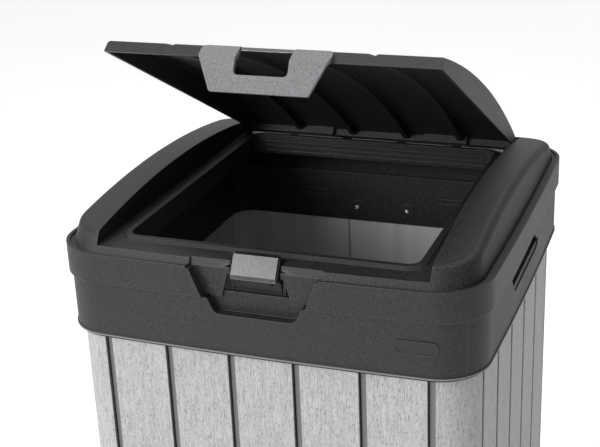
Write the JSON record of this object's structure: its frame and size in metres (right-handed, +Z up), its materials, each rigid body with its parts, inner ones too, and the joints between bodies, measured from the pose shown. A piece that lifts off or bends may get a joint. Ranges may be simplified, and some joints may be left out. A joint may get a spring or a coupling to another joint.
{
  "type": "litter bin",
  "caption": "Square outdoor litter bin with plank-effect resin walls, a dark collar, a hinged hood with a vaulted lid, a push latch and a slide-out drip tray.",
  "frame": {"origin": "bottom centre of the bin on the ground", "axes": "+Z up, front of the bin faces -Y, +X to the right of a person facing +Y"},
  "size_m": [0.454, 0.4577, 1.0057],
  "materials": {
    "resin_wall": "wood-grained matt",
    "resin_black": "fine moulded grain",
    "resin_lid": "fine moulded grain",
    "resin_pull": "satin",
    "latch_metal": "brushed",
    "latch_black": "satin",
    "steel": "turned",
    "screw_steel": "zinc plated",
    "spring_steel": "drawn wire",
    "resin_base": "fine moulded grain",
    "resin_tray": "fine moulded grain",
    "rubber": "matt"
  },
  "bodies": {
    "bin_body": {"front_panel": "resin_wall", "left_panel": "resin_wall", "right_panel": "resin_wall", "rear_panel_left": "resin_wall", "rear_panel_right": "resin_wall", "collar_front": "resin_black", "collar_rear": "resin_black", "collar_left": "resin_black", "collar_right": "resin_black", "collar_badge": "resin_black", "base_plinth": "resin_base", "base_floor": "resin_base", "feet": "rubber", "tray_runners": "resin_base", "hood_hinge_bracket": "steel", "hood_hinge_pin": "steel", "hinge_screws": "screw_steel"},
    "hood": {"hood_frame": "resin_black", "lid_hinge_pins": "steel", "latch_housing": "latch_black", "latch_pin": "steel", "latch_spring": "spring_steel", "latch_screws": "screw_steel", "hood_hinge_leaf": "steel", "hinge_leaf_screws": "screw_steel"},
    "lid": {"lid_shell": "resin_lid", "lid_pull": "resin_pull", "latch_strike": "latch_metal"},
    "latch": {"latch_lever": "latch_black", "latch_plate": "latch_metal"},
    "tray": {"drip_tray": "resin_tray", "tray_front": "resin_tray", "tray_grip": "resin_tray"}
  },
  "joints": [
    {"name": "hood_hinge", "type": "hinge", "parent": "bin_body", "child": "hood", "pos_m": [0, 0.2255, 0.7726], "axis": [-1, 0, 0], "range_deg": [0, 80]},
    {"name": "lid_hinge", "type": "hinge", "parent": "hood", "child": "lid", "pos_m": [0, 0.186, 0.804], "axis": [-1, 0, 0], "range_deg": [-28, 62]},
    {"name": "latch_pivot", "type": "hinge", "parent": "hood", "child": "latch", "pos_m": [0, -0.206, 0.774], "axis": [-1, 0, 0], "range_deg": [0, 14], "stiffness_Nm_per_rad": 0.4, "springref_deg": -14.32},
    {"name": "tray_slide", "type": "slide", "parent": "bin_body", "child": "tray", "axis": [0, -1, 0], "range_m": [0, 0.34]}
  ]
}
